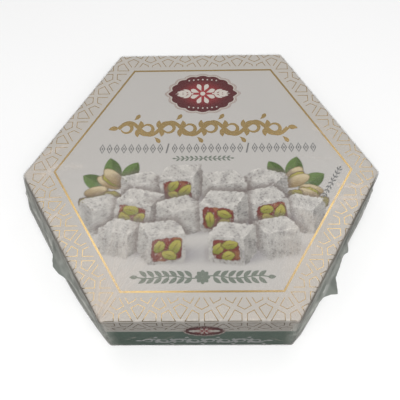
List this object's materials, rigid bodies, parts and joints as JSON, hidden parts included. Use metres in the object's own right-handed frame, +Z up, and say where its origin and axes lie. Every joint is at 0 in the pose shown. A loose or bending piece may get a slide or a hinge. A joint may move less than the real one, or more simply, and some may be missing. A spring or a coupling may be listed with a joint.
{
  "type": "shrink-wrapped hexagonal carton of turkish delight",
  "caption": "Shut hexagonal gift carton of Turkish delight: a full-depth board lid over its filled tray, shrink wrapped in clear film with a welded seam and loose ears.",
  "frame": {"origin": "middle of the hexagon on the film's underside, the face that the pack rests on", "axes": "+Z up; +X from the left corner to the right corner, along the front edge; -Y towards the front"},
  "size_m": [0.1739, 0.1472, 0.035],
  "materials": {
    "tray_board": "matte",
    "lid_board": "satin coated",
    "green_print": "satin coated",
    "gold_foil": "bright hot-stamped foil",
    "picture_print": "satin coated",
    "shrink_film": "clear, gloss"
  },
  "bodies": {
    "root": {"base": "tray_board", "lid": "lid_board", "film": "shrink_film"}
  },
  "joints": []
}
